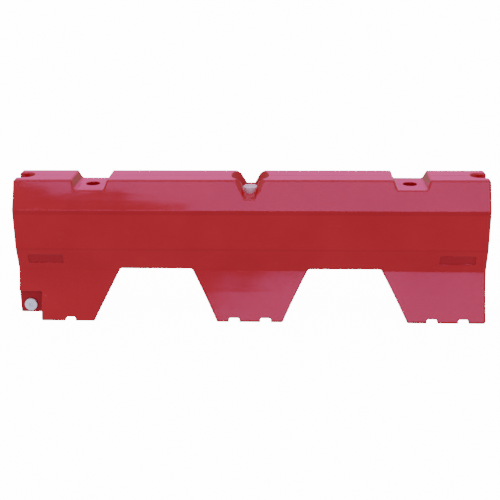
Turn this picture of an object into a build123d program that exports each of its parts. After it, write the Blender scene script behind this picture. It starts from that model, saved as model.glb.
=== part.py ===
from build123d import *
import math
import os

# Water filled road barrier, in millimetres.
# X runs along the barrier, -Y is its front, Z is up, and the origin is the middle of its footprint.
# The tank is one hollow moulding. Two screw closures, a filler and a drain, are fitted to it.

# ---- Tank: overall ----
length = 2000.0
height = 600.0
wall = 7.0

# ---- Tank: cross section, from the ground up. The belly band takes what height is left. ----
foot_half_depth = 195.0
waist_height = 211.0
waist_half_depth = 117.0
taper_rise = 102.0
belly_half_depth = 142.0
shoulder_drop = 116.0
top_half_depth = 82.5
foot_edge_radius = 8.0
crease_radius = 9.0
top_edge_radius = 12.0
end_edge_radius = 12.0

# ---- Tank: legs and the two lifting arches ----
mid_leg_top_half_width = 250.0
mid_leg_foot_half_width = 140.0
end_leg_top_width = 445.0
end_leg_foot_width = 332.0
arch_height = 215.0
arch_corner_radius = 11.0
arch_rim_radius = 6.0

# ---- Tank: grooves under the feet ----
groove_height = 17.0
groove_width = 44.0
groove_corner_radius = 7.0
groove_rim_radius = 3.0
mid_groove_offset = 67.0
outer_groove_margin = 95.0
inner_groove_margin = 227.0

# ---- Tank: top notches with post sockets ----
notch_margin = 325.0
notch_depth = 38.0
notch_top_width = 150.0
notch_floor_width = 122.0
notch_corner_radius = 12.0
notch_rim_radius = 10.0
socket_radius = 28.0
socket_depth = 250.0
socket_rim_radius = 4.0

# ---- Tank: upright channels in the two ends ----
channel_width = 66.0
channel_depth = 72.0
channel_rim_radius = 8.0

# ---- Tank: filler recess in the middle of the top ----
gutter_depth = 54.0
gutter_floor_width = 38.0
gutter_top_width = 90.0
gutter_flare = 21.0
gutter_rim_radius = 8.0
trough_depth = 14.0
trough_crest_half_depth = 94.0
trough_floor_half_depth = 72.0
bowl_depth = 78.0
bowl_finger_gap = 9.0
bowl_side_spread = 40.0
bowl_corner_radius = 8.0

# ---- Tank: drain pocket in the front left corner, and the two blank badge recesses ----
pocket_width = 102.0
pocket_height = 119.0
pocket_wall_half_depth = 129.0
pocket_corner_radius = 8.0
pocket_rim_radius = 5.0
badge_margin = 127.0
badge_width = 150.0
badge_height = 42.0
badge_depth = 4.0
badge_corner_radius = 8.0
badge_rise = 53.0

# ---- Closures: shared ----
insert_gap = 0.1
thread_gap = 0.3
seal_gap = 0.05
flange_thickness = 3.0

# ---- Filler: neck, gasket and cap ----
neck_bore_radius = 22.5
neck_wall = 4.5
neck_flange_lip = 3.5
neck_rise = 21.0
neck_tail = 9.0
gasket_thickness = 3.0
cap_skirt_wall = 2.7
cap_top_thickness = 5.0
cap_skirt_gap = 1.5
cap_edge_radius = 1.5
cap_rib_count = 28
cap_rib_radius = 1.6
cap_rib_height = 1.0
cap_bar_length = 44.0
cap_bar_width = 9.0
cap_bar_height = 7.0
cap_bar_radius = 2.0

# ---- Drain: bush, O-ring and plug ----
drain_margin = 47.0
drain_height = 54.0
bush_bore_radius = 16.0
bush_wall = 4.5
bush_flange_lip = 4.0
bush_tail = 9.0
plug_head_lip = 2.5
plug_head_thickness = 9.0
plug_edge_radius = 2.5
plug_shank_length = 18.0
plug_shank_wall = 4.0
plug_square = 16.0
plug_square_depth = 5.0
oring_section_radius = 1.6

# ---- Worked out from the sizes above ----
half_length = length / 2
belly_low_height = waist_height + taper_rise
belly_high_height = height - shoulder_drop
notch_floor_height = height - notch_depth
notch_x = half_length - notch_margin
gutter_floor_height = height - gutter_depth
bowl_floor_height = height - bowl_depth
pocket_edge_x = -half_length + pocket_width
neck_outer_radius = neck_bore_radius + neck_wall
neck_top_height = bowl_floor_height + neck_rise
cap_radius = neck_outer_radius + thread_gap + cap_skirt_wall + cap_rib_height
bowl_floor_radius = cap_radius + bowl_finger_gap
bowl_top_radius = bowl_floor_radius + bowl_side_spread
bush_outer_radius = bush_bore_radius + bush_wall
oring_radius = bush_bore_radius + bush_wall / 2
plug_head_radius = bush_outer_radius + bush_flange_lip + plug_head_lip
through = 2 * max(foot_half_depth, belly_half_depth) + 20.0
overshoot = 50.0
on_floor = (Align.CENTER, Align.CENTER, Align.MIN)
drain_place = Plane(
    origin=(-half_length + drain_margin, -pocket_wall_half_depth, drain_height),
    x_dir=(1, 0, 0),
    z_dir=(0, -1, 0),
)


# ---- Outlines and cutters ----
def grown(outline, skin):
    """A flat outline made larger all round by skin."""
    return offset(outline, amount=skin, kind=Kind.INTERSECTION) if skin else outline


def across(outline, skin):
    """Cutter that runs from front to back, from an outline in X and Z."""
    return extrude(Plane.XZ * grown(outline, skin), through / 2, both=True)


def round_between(outline, low, high, radius):
    """Round the corners of an outline that lie between two heights."""
    corners = [corner for corner in outline.vertices() if low <= corner.Y <= high]
    return fillet(corners, radius)


def tube(outer_radius, inner_radius, bottom, top):
    """Upright ring between two heights."""
    depth = top - bottom
    ring = Cylinder(outer_radius, depth, align=on_floor) - Cylinder(inner_radius, depth, align=on_floor)
    return Pos(0, 0, bottom) * ring


def section_outline():
    """Cross section of the tank: half depth along local X, height along local Y."""
    half = [
        (foot_half_depth, 0.0),
        (waist_half_depth, waist_height),
        (belly_half_depth, belly_low_height),
        (belly_half_depth, belly_high_height),
        (top_half_depth, height),
    ]
    mirrored = [(-depth, rise) for depth, rise in reversed(half)]
    outline = Polygon(*half, *mirrored, align=None)
    outline = round_between(outline, -1.0, 1.0, foot_edge_radius)
    outline = round_between(outline, waist_height - 1.0, belly_high_height + 1.0, crease_radius)
    return round_between(outline, height - 1.0, height + 1.0, top_edge_radius)


def tank_block(skin):
    """The tank with nothing cut from it, skin inside its outer surface."""
    outline = grown(section_outline(), -skin)
    block = extrude(Plane.YZ * outline, half_length - skin, both=True)
    if skin:
        return block
    return fillet(block.faces().filter_by(Axis.X).edges(), end_edge_radius)


def arch(side, skin):
    """One lifting arch, on the left (-1) or the right (1), run on below the ground."""
    mid_lean = (mid_leg_top_half_width - mid_leg_foot_half_width) / arch_height
    end_top_x = half_length - end_leg_top_width
    end_foot_x = half_length - end_leg_foot_width
    end_lean = (end_foot_x - end_top_x) / arch_height
    corners = [
        (mid_leg_foot_half_width - mid_lean * overshoot, -overshoot),
        (end_foot_x + end_lean * overshoot, -overshoot),
        (end_top_x, arch_height),
        (mid_leg_top_half_width, arch_height),
    ]
    outline = Polygon(*corners, align=None)
    outline = round_between(outline, arch_height - 1.0, arch_height + 1.0, arch_corner_radius)
    cutter = across(outline, skin)
    return cutter if side > 0 else mirror(cutter, Plane.YZ)


def foot_groove(center_x, skin, width=groove_width):
    """Groove under a foot, from front to back, with rounded upper corners."""
    outline = Pos(center_x, groove_height - overshoot) * Rectangle(width, 2 * overshoot)
    outline = round_between(outline, groove_height - 1.0, groove_height + 1.0, groove_corner_radius)
    return across(outline, skin)


def notch(side, skin):
    """Notch across the top, with sloping sides and rounded floor corners."""
    side_lean = (notch_top_width - notch_floor_width) / (2 * notch_depth)
    floor_half = notch_floor_width / 2
    top_half = notch_top_width / 2 + side_lean * overshoot
    corners = [
        (-floor_half, notch_floor_height),
        (floor_half, notch_floor_height),
        (top_half, height + overshoot),
        (-top_half, height + overshoot),
    ]
    outline = Polygon(*corners, align=None)
    outline = round_between(outline, notch_floor_height - 1.0, notch_floor_height + 1.0, notch_corner_radius)
    return Pos(side * notch_x, 0, 0) * across(outline, skin)


def post_socket(side, skin):
    """Blind round socket for a fence post, in a notch floor."""
    bottom = notch_floor_height - socket_depth - skin
    socket = Cylinder(socket_radius + skin, height - bottom, align=on_floor)
    return Pos(side * notch_x, 0, bottom) * socket


def end_channel(side, skin):
    """Upright U channel in one end, open at the end face, the top and the bottom."""
    straight = channel_depth - channel_width / 2
    outline = Pos((straight - overshoot) / 2, 0) * Rectangle(straight + overshoot, channel_width)
    outline += Pos(straight, 0) * Circle(channel_width / 2)
    cutter = Pos(-half_length, 0, -overshoot) * extrude(grown(outline, skin), height + 2 * overshoot)
    return cutter if side < 0 else mirror(cutter, Plane.YZ)


def shoulder_point(x, rise, inset):
    """Point on the front shoulder face at a height, then moved inward square to that face."""
    lean = math.atan2(belly_half_depth - top_half_depth, shoulder_drop)
    face_y = -top_half_depth - (height - rise) * math.tan(lean)
    return (x, face_y + inset * math.cos(lean), rise - inset * math.sin(lean))


def gutter_corners(grow):
    """Corners of the gutter's section in X and Z, grown outward."""
    side_lean = (gutter_top_width - gutter_floor_width) / (2 * gutter_depth)
    floor_half = gutter_floor_width / 2
    top_half = gutter_top_width / 2 + grow + side_lean * overshoot
    floor = gutter_floor_height - grow
    top = height + overshoot
    return [(-floor_half, floor), (floor_half, floor), (top_half, top), (-top_half, top)]


def gutter(skin):
    """Gutter across the top, flared where it meets the front and back shoulder faces."""
    channel = across(Polygon(*gutter_corners(0.0), align=None), skin)
    inner = [shoulder_point(x, z, gutter_flare + skin) for x, z in gutter_corners(skin)]
    outer = [shoulder_point(x, z, -gutter_flare) for x, z in gutter_corners(2 * gutter_flare + skin)]
    flare = loft([make_face(Polyline(*inner, close=True)), make_face(Polyline(*outer, close=True))])
    return channel + flare + mirror(flare, Plane.XZ)


def filler_trough(skin):
    """Dip inside the gutter that leads down into the bowl, behind a crest at the front and back."""
    low = gutter_floor_height - trough_depth - skin
    high = gutter_floor_height + overshoot
    side_lean = (gutter_top_width - gutter_floor_width) / (2 * gutter_depth)
    end_lean = (trough_crest_half_depth - trough_floor_half_depth) / trough_depth
    floor_half = gutter_floor_width / 2 - side_lean * trough_depth + skin
    end_half = trough_floor_half_depth + skin
    rise = high - low
    floor = Plane.XY.offset(low) * Rectangle(2 * floor_half, 2 * end_half)
    mouth_size = (2 * (floor_half + side_lean * rise), 2 * (end_half + end_lean * rise))
    mouth = Plane.XY.offset(high) * Rectangle(*mouth_size)
    return loft([floor, mouth])


def filler_bowl(skin):
    """Round bowl that leaves finger room around the filler cap."""
    side_lean = (bowl_top_radius - bowl_floor_radius) / bowl_depth
    rise = bowl_depth + overshoot + skin
    bottom_radius = bowl_floor_radius + skin
    bowl = Cone(bottom_radius, bottom_radius + side_lean * rise, rise, align=on_floor)
    if not skin:
        bowl = fillet(bowl.edges().sort_by(Axis.Z)[0], bowl_corner_radius)
    return Pos(0, 0, bowl_floor_height - skin) * bowl


def drain_pocket(skin):
    """Pocket in the front left corner, with a raised step behind it. Both are open at the end."""
    deep = through / 2 - pocket_wall_half_depth
    pocket = Box(
        pocket_width + overshoot + skin,
        deep + skin,
        pocket_height + overshoot + skin,
        align=(Align.MAX, Align.MAX, Align.MIN),
    )
    if not skin:
        blind_corner = pocket.vertices().sort_by(lambda corner: corner.X + corner.Y + corner.Z)[-1]
        blind_edges = pocket.edges().filter_by(lambda edge: blind_corner in edge.vertices())
        pocket = fillet(blind_edges, pocket_corner_radius)
    pocket = Pos(pocket_edge_x + skin, -pocket_wall_half_depth + skin, -overshoot) * pocket
    return pocket + foot_groove(-half_length, skin, 2 * pocket_width)


def badge_recess(side, skin):
    """Blank shallow recess on the tapered band, on the front only."""
    lean = math.atan2(belly_half_depth - waist_half_depth, taper_rise)
    face_y = -waist_half_depth - badge_rise * math.tan(lean)
    place = Plane(
        origin=(side * (half_length - badge_margin), face_y, waist_height + badge_rise),
        x_dir=(1, 0, 0),
        z_dir=(0, -math.cos(lean), -math.sin(lean)),
    )
    outline = RectangleRounded(badge_width + 2 * skin, badge_height + 2 * skin, badge_corner_radius + skin)
    return extrude(place * outline, badge_depth + skin, both=True)


# ---- Tank ----
def tank_cuts(skin):
    """Every cut in the tank and the radius of its rim, each cutter grown by skin."""
    groove_places = [
        -mid_groove_offset,
        mid_groove_offset,
        half_length - outer_groove_margin,
        half_length - inner_groove_margin,
        inner_groove_margin - half_length,
    ]
    cuts = [(arch(side, skin), arch_rim_radius) for side in (-1, 1)]
    cuts += [(notch(side, skin), notch_rim_radius) for side in (-1, 1)]
    cuts += [(end_channel(side, skin), channel_rim_radius) for side in (-1, 1)]
    cuts.append((gutter(skin) + filler_trough(skin) + filler_bowl(skin), gutter_rim_radius))
    cuts.append((drain_pocket(skin), pocket_rim_radius))
    cuts += [(foot_groove(place, skin), groove_rim_radius) for place in groove_places]
    cuts += [(post_socket(side, skin), socket_rim_radius) for side in (-1, 1)]
    cuts += [(badge_recess(side, skin), 0.0) for side in (-1, 1)]
    return cuts


def tank_form(skin):
    """Outer surface of the tank, with rounded rims, or its inner surface when skin is the wall."""
    form = tank_block(skin)
    for cutter, rim_radius in tank_cuts(skin):
        opened = form - cutter
        if rim_radius and not skin:
            opened = fillet(new_edges(form, cutter, combined=opened), rim_radius)
        form = opened
    return form


def tank_shell():
    """Hollow tank, with a hole for the filler neck and one for the drain bush."""
    neck_hole = Pos(0, 0, bowl_floor_height) * Cylinder(neck_outer_radius + insert_gap, 4 * wall)
    bush_hole = drain_place.location * Cylinder(bush_outer_radius + insert_gap, 4 * wall)
    return tank_form(0.0) - tank_form(wall) - neck_hole - bush_hole


# ---- Closures. Each is built with its seat at height 0 and its mouth along +Z. ----
def insert(outer_radius, bore_radius, lip, rise, tail):
    """Threaded insert held in the tank wall between two flanges."""
    body = tube(outer_radius, bore_radius, -wall - tail, rise)
    flange_radius = outer_radius + lip
    body += tube(flange_radius, bore_radius, 0.0, flange_thickness)
    return body + tube(flange_radius, bore_radius, -wall - flange_thickness, -wall)


def filler_neck():
    neck = insert(neck_outer_radius, neck_bore_radius, neck_flange_lip, neck_rise, neck_tail)
    return Pos(0, 0, bowl_floor_height) * neck


def filler_gasket():
    return tube(neck_outer_radius, neck_bore_radius, neck_top_height, neck_top_height + gasket_thickness)


def filler_cap():
    """Screw cap with a ribbed skirt and a grip bar."""
    under = neck_top_height + gasket_thickness
    bottom = bowl_floor_height + flange_thickness + cap_skirt_gap
    top = under + cap_top_thickness
    core_radius = cap_radius - cap_rib_height
    cap = Pos(0, 0, bottom) * Cylinder(core_radius, top - bottom, align=on_floor)
    cap = fillet(cap.edges().sort_by(Axis.Z)[-1], cap_edge_radius)
    rib = Cylinder(cap_rib_radius, top - bottom - 2 * cap_edge_radius, align=on_floor)
    ring = PolarLocations(cap_radius - cap_rib_radius, cap_rib_count)
    cap += [Pos(0, 0, bottom) * spot * rib for spot in ring]
    bar = Pos(0, 0, top) * Box(cap_bar_length, cap_bar_width, 2 * cap_bar_height)
    bar = fillet(bar.edges().filter_by(Axis.Z) + bar.edges().group_by(Axis.Z)[-1], cap_bar_radius)
    cap += split(bar, Plane.XY.offset(top), keep=Keep.TOP)
    return cap - Pos(0, 0, bottom) * Cylinder(neck_outer_radius + thread_gap, under - bottom, align=on_floor)


def drain_bush():
    bush = insert(bush_outer_radius, bush_bore_radius, bush_flange_lip, flange_thickness, bush_tail)
    return drain_place.location * bush


def drain_oring():
    seal = Torus(oring_radius, oring_section_radius)
    return drain_place.location * Pos(0, 0, flange_thickness + seal_gap + oring_section_radius) * seal


def drain_plug():
    """Screw plug with a hollow shank, a seal groove under its head and a square drive recess."""
    under = flange_thickness + thread_gap
    top = under + plug_head_thickness
    shank_radius = bush_bore_radius - thread_gap
    head = Pos(0, 0, under) * Cylinder(plug_head_radius, plug_head_thickness, align=on_floor)
    head = fillet(head.edges().sort_by(Axis.Z)[-1], plug_edge_radius)
    groove_half = oring_section_radius + thread_gap
    groove_top = flange_thickness + 2 * (oring_section_radius + seal_gap)
    head -= tube(oring_radius + groove_half, oring_radius - groove_half, under, groove_top)
    head -= Pos(0, 0, top) * Box(plug_square, plug_square, 2 * plug_square_depth)
    shank = tube(shank_radius, shank_radius - plug_shank_wall, under - plug_shank_length, under)
    return drain_place.location * (head + shank)


def main():
    os.makedirs("parts", exist_ok=True)
    nodes = [tank_shell, filler_neck, filler_gasket, filler_cap, drain_bush, drain_oring, drain_plug]
    for make in nodes:
        export_step(make(), f"parts/{make.__name__}.step")


main()
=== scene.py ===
import math

import bmesh
import bpy
import numpy as np
from mathutils import Matrix, Vector

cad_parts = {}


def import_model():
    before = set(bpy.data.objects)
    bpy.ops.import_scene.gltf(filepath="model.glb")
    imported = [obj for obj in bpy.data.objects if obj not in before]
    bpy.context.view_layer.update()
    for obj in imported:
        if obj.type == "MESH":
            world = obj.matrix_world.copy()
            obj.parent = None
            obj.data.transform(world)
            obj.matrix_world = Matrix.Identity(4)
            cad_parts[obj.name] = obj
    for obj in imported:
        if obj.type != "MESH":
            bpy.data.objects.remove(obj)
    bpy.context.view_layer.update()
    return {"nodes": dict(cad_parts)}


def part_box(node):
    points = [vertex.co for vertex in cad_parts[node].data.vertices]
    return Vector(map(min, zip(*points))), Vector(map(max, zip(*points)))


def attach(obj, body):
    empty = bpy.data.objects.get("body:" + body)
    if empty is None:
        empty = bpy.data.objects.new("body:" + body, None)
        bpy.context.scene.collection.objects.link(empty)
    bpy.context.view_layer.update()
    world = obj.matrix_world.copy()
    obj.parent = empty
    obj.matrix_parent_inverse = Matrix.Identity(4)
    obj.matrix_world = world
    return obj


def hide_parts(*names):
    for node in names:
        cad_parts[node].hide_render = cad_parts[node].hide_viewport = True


# ---- the moulded skin, in metres --------------------------------------------------
GRID = 0.025                 # spacing of the cuts that let the flat panels wander
SINK = 0.0004                # how far the moulded skin lies inside the nominal size
WANDER = 0.0007              # depth of the slow waves in the skin
WAVES = [                    # share, waves per metre along x, y and z (in radians), phase
    (1.0, (11.0, 5.0, 9.0), 0.4), (0.8, (-17.0, 8.0, 13.0), 2.1),
    (0.6, (26.0, -14.0, 21.0), 4.4), (0.4, (39.0, 17.0, -33.0), 1.3),
]
SHOULDER_DISH = 0.0011       # hollow of the shoulder panels on the left, which shrink more in the mould
SHOULDER_LOW, SHOULDER_HIGH = 0.484, 0.598
SHOULDER_Y = (0.070, 0.082)  # the hollow grows from 0 to full between these depths
DISH_X = (-0.27, -0.10)      # and fades out between these places along the barrier
LEG_DISH = 0.0019            # hollow of the leg faces
LEG_LOW, LEG_HIGH = 0.004, 0.211
LEG_Y = (0.110, 0.120)
PARTING_SHARE = 0.4          # how much of the sink the parting line stands out of
PARTING_HALF = 0.0007        # half width of the mould's parting line
PARTING_FOOT = 0.0016        # half width of its root
KEEP_NEAR = 0.060            # the skin keeps its true place this near an insert
FADE_NEAR = 0.110
GROUND_NEAR = 0.0008         # points lower than this stay on the ground
FILLER_AXIS, FILLER_HOLE = (0.0, 0.0), 0.0275        # x and y, radius around the neck's hole
DRAIN_AXIS, DRAIN_HOLE = (-0.953, 0.054), 0.0212     # x and z, radius around the bush's hole
HOLE_MARGIN = 0.01

# ---- painted shade on the skin: low, high and the width of the soft edge ---------
# painted shade along the shoulder crease and the lower crease
CREASE_BAND, CREASE_SHADE = (0.468, 0.477, 0.007), 0.17
LOWER_CREASE_BAND, LOWER_CREASE_SHADE = (0.308, 0.312, 0.006), 0.13
# painted shade on the floors of the badge recesses
BADGE_X, BADGE_Z, BADGE_SHADE = (0.803, 0.943, 0.006), (0.247, 0.281, 0.005), 0.27
# painted shade in the drain plug's pocket
POCKET_X, POCKET_Z, POCKET_SHADE = (-1.0, -0.903, 0.006), (0.0, 0.114, 0.006), 0.34
POCKET_Y = (-0.180, -0.165)  # the shade of the pocket sets in between these depths
FRONT_Y = (-0.12, -0.10)     # shades lie on the front only, which ends here

# ---- colours ----------------------------------------------------------------------
RED_TONES = [(0.35, (0.385, 0.0110, 0.0142)), (0.62, (0.412, 0.0128, 0.0165)), (0.9, (0.440, 0.0146, 0.0188))]
WORN_RED = (0.50, 0.050, 0.055)
# the colour of the painted shade
SHADED_RED = (0.140, 0.004, 0.005)
HIGHLIGHT_TINT = (1.0, 0.55, 1.0, 1.0)
FLOOR_TONES = [(0.3, (0.90, 0.90, 0.90)), (0.7, (0.92, 0.92, 0.92))]
# light tone, dark tone, roughness
CAP_WHITE = ((0.96, 0.74, 0.98), (0.88, 0.66, 0.90), 0.34)
PLUG_WHITE = ((0.76, 0.77, 0.99), (0.68, 0.69, 0.93), 0.34)
INSERT_GREY = ((0.10, 0.10, 0.11), (0.06, 0.06, 0.065), 0.42)
SEAL_BLACK = ((0.022, 0.022, 0.023), (0.014, 0.014, 0.015), 0.62)

# ---- camera, from the photograph's perspective -----------------------------------
CAMERA_PLACE = (0.1814, -3.9398, 1.6867)
CAMERA_YAW, CAMERA_PITCH, CAMERA_ROLL = 2.703, 19.877, -0.631
CAMERA_LENS, CAMERA_SENSOR = 69.2, 36.0

# ---- light ------------------------------------------------------------------------
WORLD_LOW, WORLD_HIGH, WORLD_BEHIND = 0.98, 1.12, 0.42
WORLD_LEVELS, WORLD_DEPTHS = (-0.10, 0.40), (0.1, 0.8)
FLOOR_GLOW = 14.0
FLOOR_SIZE = 120
FRONT_TINT = (1.0, 0.50, 0.88)
# name, place, aim, shape, width, height, radiance, colour, whether it also lights matt surfaces
SOFT_BOXES = [
    ("front_softbox", (1.2, -5.5, 3.53), (1.2, 0.0, 3.53), "ELLIPSE", 7.2, 3.84, 5.6, FRONT_TINT, False),
    ("left_softbox", (-2.2, -5.5, 3.9), (-2.2, 0.0, 3.9), "ELLIPSE", 1.7, 1.5, 5.6, FRONT_TINT, False),
    ("back_softbox", (-0.28, 6.0, 2.6), (-0.28, 0.0, 2.6), "RECTANGLE", 6.6, 2.8, 2.1, (1.0, 0.0, 0.50), True),
    ("top_softbox", (0.0, -0.5, 5.0), (0.0, -0.5, 0.0), "RECTANGLE", 9.0, 6.0, 2.6, (1.0, 0.45, 0.8), False),
]


class Tree:
    """A material's node tree, with short calls to add and link nodes."""

    def __init__(self, name):
        self.material = bpy.data.materials.new(name)
        self.material.use_nodes = True
        self.tree = self.material.node_tree
        self.tree.nodes.clear()
        self.out = self.tree.nodes.new("ShaderNodeOutputMaterial")
        self.shader = self.tree.nodes.new("ShaderNodeBsdfPrincipled")
        self.join(self.shader.outputs["BSDF"], self.out.inputs["Surface"])

    def join(self, a, b):
        self.tree.links.new(a, b)

    def node(self, kind, **settings):
        made = self.tree.nodes.new(kind)
        for key, value in settings.items():
            setattr(made, key, value)
        return made

    def place(self, scale=(1, 1, 1)):
        coords = self.node("ShaderNodeTexCoord")
        mapping = self.node("ShaderNodeMapping")
        mapping.inputs["Scale"].default_value = scale
        self.join(coords.outputs["Object"], mapping.inputs["Vector"])
        return mapping.outputs["Vector"]

    def noise(self, scale, detail=3.0, rough=0.5, stretch=(1, 1, 1)):
        n = self.node("ShaderNodeTexNoise")
        n.inputs["Scale"].default_value = scale
        n.inputs["Detail"].default_value = detail
        n.inputs["Roughness"].default_value = rough
        self.join(self.place(stretch), n.inputs["Vector"])
        return n.outputs["Fac"]

    def ramp(self, source, stops):
        r = self.node("ShaderNodeValToRGB")
        marks = r.color_ramp.elements
        while len(marks) < len(stops):
            marks.new(0.5)
        for mark, (at, colour) in zip(marks, stops):
            mark.position = at
            mark.color = (*colour, 1) if len(colour) == 3 else colour
        self.join(source, r.inputs["Fac"])
        return r.outputs["Color"]

    def spread(self, source, low, high, from_low=0.3, from_high=0.7):
        m = self.node("ShaderNodeMapRange")
        m.inputs["From Min"].default_value = from_low
        m.inputs["From Max"].default_value = from_high
        m.inputs["To Min"].default_value = low
        m.inputs["To Max"].default_value = high
        self.join(source, m.inputs["Value"])
        return m.outputs["Result"]

    def mix(self, factor, a, b):
        m = self.node("ShaderNodeMix", data_type="RGBA")
        self.join(factor, m.inputs["Factor"])
        colours = [s for s in m.inputs if s.type == "RGBA"]
        for socket, value in zip(colours, (a, b)):
            if isinstance(value, tuple):
                socket.default_value = (*value, 1)
            else:
                self.join(value, socket)
        return [s for s in m.outputs if s.type == "RGBA"][0]

    def total(self, a, b, share=1.0):
        m = self.node("ShaderNodeMath", operation="MULTIPLY_ADD")
        self.join(b, m.inputs[0])
        m.inputs[1].default_value = share
        self.join(a, m.inputs[2])
        return m.outputs[0]

    def math(self, operation, a, b):
        m = self.node("ShaderNodeMath", operation=operation)
        for socket, value in zip(m.inputs, (a, b)):
            if isinstance(value, (int, float)):
                socket.default_value = value
            else:
                self.join(value, socket)
        return m.outputs[0]

    def band(self, source, low, high, soft):
        """1 between low and high, falling to 0 over the soft width outside them."""
        rise = self.spread(source, 0.0, 1.0, low - soft, low)
        fall = self.spread(source, 1.0, 0.0, high, high + soft)
        return self.math("MULTIPLY", rise, fall)

    def shade(self):
        """Painted shade: where the skin's red is darkened under two creases, on the badge recess floors and in
        the drain pocket.
        """
        xyz = self.node("ShaderNodeSeparateXYZ")
        self.join(self.place(), xyz.inputs[0])
        x, y, z = xyz.outputs
        crease = self.math("MULTIPLY", self.band(z, *CREASE_BAND), CREASE_SHADE)
        lower = self.math("MULTIPLY", self.band(z, *LOWER_CREASE_BAND), LOWER_CREASE_SHADE)
        crease = self.math("MAXIMUM", crease, lower)
        along = self.band(self.math("ABSOLUTE", x, 0.0), *BADGE_X)
        badge = self.math("MULTIPLY", self.math("MULTIPLY", along, self.band(z, *BADGE_Z)), BADGE_SHADE)
        front = self.spread(y, 1.0, 0.0, *FRONT_Y)
        pocket = self.math("MULTIPLY", self.band(x, *POCKET_X), self.band(z, *POCKET_Z))
        inside = self.math("MULTIPLY", self.spread(y, 0.0, 1.0, *POCKET_Y), POCKET_SHADE)
        pocket = self.math("MULTIPLY", pocket, inside)
        # all the painted shade together, then kept to the front
        marks = self.math("MAXIMUM", self.math("MAXIMUM", crease, badge), pocket)
        return self.math("MULTIPLY", marks, front)

    def bump(self, height, distance, strength=1.0, under=None):
        b = self.node("ShaderNodeBump")
        b.inputs["Distance"].default_value = distance
        b.inputs["Strength"].default_value = strength
        self.join(height, b.inputs["Height"])
        if under is not None:
            self.join(under, b.inputs["Normal"])
        return b.outputs["Normal"]


def tank_material():
    t = Tree("red_moulded_polyethylene")
    s = t.shader
    cloud = t.noise(5.0, 3.0, 0.55)
    grain = t.noise(260.0, 2.0, 0.6)
    tone = t.total(cloud, grain, 0.18)
    red = t.ramp(tone, RED_TONES)
    scuff_place = t.noise(9.0, 4.0, 0.65)
    scuff_line = t.noise(70.0, 4.0, 0.7, (0.35, 1.0, 2.4))
    scuffs = t.spread(t.total(scuff_place, scuff_line, 0.9), 0.0, 0.16, 1.12, 1.30)
    worn = t.mix(scuffs, red, WORN_RED)
    # painted shade: the red is darkened towards SHADED_RED in the creases, on the badge recess floors and in the
    # drain pocket
    t.join(t.mix(t.shade(), worn, SHADED_RED), s.inputs["Base Color"])
    haze = t.spread(t.noise(14.0, 4.0, 0.6), 0.055, 0.095)
    t.join(t.total(haze, scuffs, 0.9), s.inputs["Roughness"])
    peel = t.bump(t.noise(170.0, 2.0, 0.45), 0.00006, 0.5)
    speck = t.bump(t.noise(900.0, 1.0, 0.5), 0.00001, 0.5, peel)
    t.join(speck, s.inputs["Normal"])
    s.inputs["IOR"].default_value = 1.45
    s.inputs["Specular IOR Level"].default_value = 0.30
    s.inputs["Specular Tint"].default_value = HIGHLIGHT_TINT
    return t.material


def plain_material(name, light, dark, roughness):
    """Plastic or rubber of one colour, a little cloudy and not equally glossy all over."""
    t = Tree(name)
    s = t.shader
    cloud = t.noise(60.0, 4.0, 0.6)
    t.join(t.ramp(cloud, [(0.3, dark), (0.7, light)]), s.inputs["Base Color"])
    t.join(t.spread(t.noise(240.0, 3.0, 0.6), roughness - 0.06, roughness + 0.10), s.inputs["Roughness"])
    t.join(t.bump(t.noise(1400.0, 2.0, 0.5), 0.00003, 0.6), s.inputs["Normal"])
    return t.material


def floor_material():
    t = Tree("pale_floor")
    t.join(t.ramp(t.noise(0.8, 2.0, 0.5), FLOOR_TONES), t.shader.inputs["Base Color"])
    t.shader.inputs["Roughness"].default_value = 0.95
    t.shader.inputs["Specular IOR Level"].default_value = 0.0
    t.shader.inputs["Emission Color"].default_value = (1, 1, 1, 1)
    t.shader.inputs["Emission Strength"].default_value = FLOOR_GLOW
    return t.material


# ---- the tank's moulded skin ------------------------------------------------------
def outer_faces(bm):
    """The faces of the outer skin, reached from a foot without passing an insert's hole."""
    filler_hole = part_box("filler_neck")
    drain_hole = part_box("drain_bush")
    blocked = set()
    for f in bm.faces:
        c = f.calc_center_median()
        from_filler = math.hypot(c.x - FILLER_AXIS[0], c.y - FILLER_AXIS[1])
        from_drain = math.hypot(c.x - DRAIN_AXIS[0], c.z - DRAIN_AXIS[1])
        if from_filler < FILLER_HOLE and filler_hole[0].z - HOLE_MARGIN < c.z < filler_hole[1].z:
            blocked.add(f.index)
        elif from_drain < DRAIN_HOLE and c.y < drain_hole[1].y + HOLE_MARGIN:
            blocked.add(f.index)
    start = min(bm.faces, key=lambda f: (round(f.calc_center_median().z, 5), -f.calc_area()))
    found, edge_of_search = {start.index}, [start]
    while edge_of_search:
        f = edge_of_search.pop()
        for e in f.edges:
            for g in e.link_faces:
                if g.index not in found and g.index not in blocked:
                    found.add(g.index)
                    edge_of_search.append(g)
    return found


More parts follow.
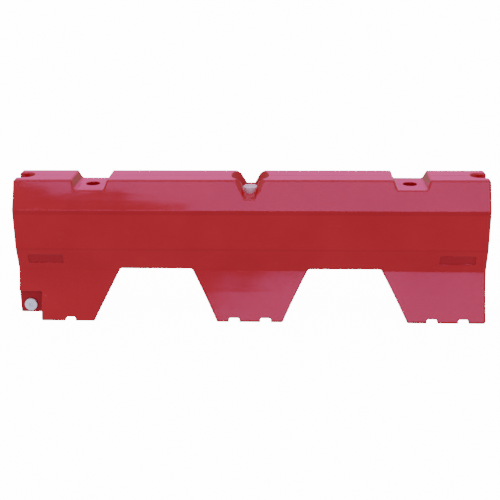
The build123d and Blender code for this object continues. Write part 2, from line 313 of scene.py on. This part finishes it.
def cut_grid(bm, outer):
    """Cuts the outer skin along regular planes, so that a flat panel has points enough to wander."""
    chosen = bm.faces.layers.int.new("outer")
    bm.faces.ensure_lookup_table()
    for f in bm.faces:
        f[chosen] = 1 if f.index in outer else 0
    planes = []
    for axis, low, high in ((0, -1.0, 1.0), (1, -0.2, 0.2), (2, 0.0, 0.6)):
        count = int(round((high - low) / GRID))
        planes += [(axis, low + GRID * k) for k in range(1, count)]
    planes += [(1, y) for y in (-PARTING_FOOT, -PARTING_HALF, PARTING_HALF, PARTING_FOOT)]
    for axis, at in planes:
        normal = Vector((0, 0, 0))
        normal[axis] = 1.0
        place = normal * at
        faces = []
        for f in bm.faces:
            if not f[chosen]:
                continue
            side = [v.co[axis] - at for v in f.verts]
            if min(side) < -1e-5 and max(side) > 1e-5:
                faces.append(f)
        edges = {e for f in faces for e in f.edges}
        verts = {v for f in faces for v in f.verts}
        if faces:
            bmesh.ops.bisect_plane(bm, geom=[*faces, *edges, *verts], dist=1e-6, plane_co=place, plane_no=normal)
    return chosen


def smooth_step(x):
    x = np.clip(x, 0.0, 1.0)
    return x * x * (3 - 2 * x)


def between(x, low, high):
    return smooth_step((x - low) / (high - low))


def hollow(height, low, high):
    """0 at both ends of the height range and 1 in its middle."""
    t = np.clip((height - low) / (high - low), 0, 1)
    return 4 * t * (1 - t)


def skin_depth(p):
    """How far the skin lies inside its nominal place at each point."""
    slow = sum(share * np.sin(p @ np.array(k) + phase) for share, k, phase in WAVES)
    slow = slow / sum(share for share, _, _ in WAVES)
    depth = SINK + WANDER * (0.5 + 0.5 * slow)
    side = np.abs(p[:, 1])
    shoulder = hollow(p[:, 2], SHOULDER_LOW, SHOULDER_HIGH) * (1 - between(p[:, 0], *DISH_X))
    depth = depth + SHOULDER_DISH * shoulder * between(side, *SHOULDER_Y)
    depth = depth + LEG_DISH * hollow(p[:, 2], LEG_LOW, LEG_HIGH) * between(side, *LEG_Y)
    ridge = 1 - between(side, PARTING_HALF, PARTING_FOOT)
    depth = depth * (1 - PARTING_SHARE * ridge)
    filler = np.hypot(p[:, 0] - FILLER_AXIS[0], p[:, 1] - FILLER_AXIS[1])
    drain = np.hypot(p[:, 0] - DRAIN_AXIS[0], p[:, 2] - DRAIN_AXIS[1])
    near = np.minimum(filler, np.where(p[:, 1] < 0, drain, 1.0))
    return depth * between(near, KEEP_NEAR, FADE_NEAR)


def tank_skin(node):
    """The tank as it comes out of the mould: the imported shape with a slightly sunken, wavy outer skin."""
    mesh = node.data.copy()
    mesh.name = "tank_moulding"
    mesh.materials.clear()
    bm = bmesh.new()
    bm.from_mesh(mesh)
    bmesh.ops.remove_doubles(bm, verts=bm.verts, dist=2e-6)
    bm.faces.ensure_lookup_table()
    bm.faces.index_update()
    outer = outer_faces(bm)
    print("tank faces", len(bm.faces), "outer", len(outer))
    chosen = cut_grid(bm, outer)
    bmesh.ops.recalc_face_normals(bm, faces=bm.faces)
    skin = {v for f in bm.faces if f[chosen] for v in f.verts}
    inner = {v for f in bm.faces if not f[chosen] for v in f.verts}
    moving = [v for v in skin if v not in inner]
    for v in bm.verts:
        v.normal_update()
    place = np.array([v.co for v in moving], float)
    normal = np.array([v.normal for v in moving], float)
    normal[place[:, 2] < GROUND_NEAR, :] = 0.0
    place -= normal * skin_depth(place)[:, None]
    for v, p in zip(moving, place):
        v.co = p
    for f in bm.faces:
        f.smooth = True
    print("tank piece", len(bm.faces), "faces", sum(len(f.verts) - 2 for f in bm.faces), "triangles")
    bm.to_mesh(mesh)
    bm.free()
    piece = bpy.data.objects.new("tank_moulding", mesh)
    bpy.context.scene.collection.objects.link(piece)
    firm = piece.modifiers.new("firm_normals", "WEIGHTED_NORMAL")
    firm.mode = "FACE_AREA"
    firm.weight = 50
    firm.keep_sharp = False
    return piece


def set_range(node, source, result):
    for key, value in zip(("From Min", "From Max", "To Min", "To Max"), (*source, *result)):
        node.inputs[key].default_value = value


def lights():
    """A studio that is lighter above and darker behind, with its soft boxes."""
    world = bpy.data.worlds.new("studio")
    bpy.context.scene.world = world
    world.use_nodes = True
    background = world.node_tree.nodes["Background"]
    tree = world.node_tree
    coords = tree.nodes.new("ShaderNodeTexCoord")
    parts = tree.nodes.new("ShaderNodeSeparateXYZ")
    level = tree.nodes.new("ShaderNodeMapRange")
    level.interpolation_type = "SMOOTHSTEP"
    set_range(level, WORLD_LEVELS, (WORLD_LOW, WORLD_HIGH))
    tree.links.new(coords.outputs["Generated"], parts.inputs["Vector"])
    tree.links.new(parts.outputs["Z"], level.inputs["Value"])
    behind = tree.nodes.new("ShaderNodeMapRange")
    set_range(behind, WORLD_DEPTHS, (1.0, WORLD_BEHIND))
    tree.links.new(parts.outputs["Y"], behind.inputs["Value"])
    both = tree.nodes.new("ShaderNodeMath")
    both.operation = "MULTIPLY"
    tree.links.new(level.outputs["Result"], both.inputs[0])
    tree.links.new(behind.outputs["Result"], both.inputs[1])
    tree.links.new(both.outputs[0], background.inputs["Strength"])
    background.inputs["Color"].default_value = (1, 1, 1, 1)
    for box in SOFT_BOXES:
        soft_box(*box)


def soft_box(name, place, aim, shape, width, height, radiance, colour, lights_matt):
    """An area light that looks equally bright from everywhere in front of it."""
    data = bpy.data.lights.new(name, "AREA")
    data.shape = shape
    data.size, data.size_y = width, height
    area = width * height * (math.pi / 4 if shape == "ELLIPSE" else 1)
    data.energy = radiance * math.pi * area
    data.color = colour
    lamp = bpy.data.objects.new(name, data)
    bpy.context.scene.collection.objects.link(lamp)
    lamp.visible_diffuse = lights_matt
    lamp.location = place
    lamp.rotation_euler = (Vector(aim) - Vector(place)).to_track_quat("-Z", "Y").to_euler()
    return lamp


def camera():
    data = bpy.data.cameras.new("photo_camera")
    data.sensor_width = CAMERA_SENSOR
    data.lens = CAMERA_LENS
    data.clip_end = 200
    made = bpy.data.objects.new("photo_camera", data)
    bpy.context.scene.collection.objects.link(made)
    turn = Matrix.Rotation(math.radians(CAMERA_YAW), 4, "Z")
    tip = Matrix.Rotation(math.radians(90 - CAMERA_PITCH), 4, "X")
    roll = Matrix.Rotation(math.radians(CAMERA_ROLL), 4, "Z")
    made.matrix_world = Matrix.Translation(CAMERA_PLACE) @ turn @ tip @ roll
    bpy.context.scene.camera = made


def floor():
    bpy.ops.mesh.primitive_plane_add(size=FLOOR_SIZE, location=(0, 0, 0))
    plane = bpy.context.object
    plane.name = "floor"
    plane.data.materials.append(floor_material())
    plane.visible_diffuse = False
    plane.visible_glossy = False


def main():
    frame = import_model()
    nodes = frame["nodes"]
    tank = tank_skin(nodes["tank_shell"])
    tank.data.materials.append(tank_material())
    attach(tank, "barrier")
    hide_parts("tank_shell")
    grey = plain_material("grey_insert_plastic", *INSERT_GREY)
    black = plain_material("black_seal_rubber", *SEAL_BLACK)
    looks = {
        "filler_cap": plain_material("white_cap_plastic", *CAP_WHITE),
        "drain_plug": plain_material("white_plug_plastic", *PLUG_WHITE),
        "filler_neck": grey, "drain_bush": grey,
        "filler_gasket": black, "drain_oring": black,
    }
    for name, look in looks.items():
        nodes[name].data.materials.clear()
        nodes[name].data.materials.append(look)
    floor()
    lights()
    camera()


main()
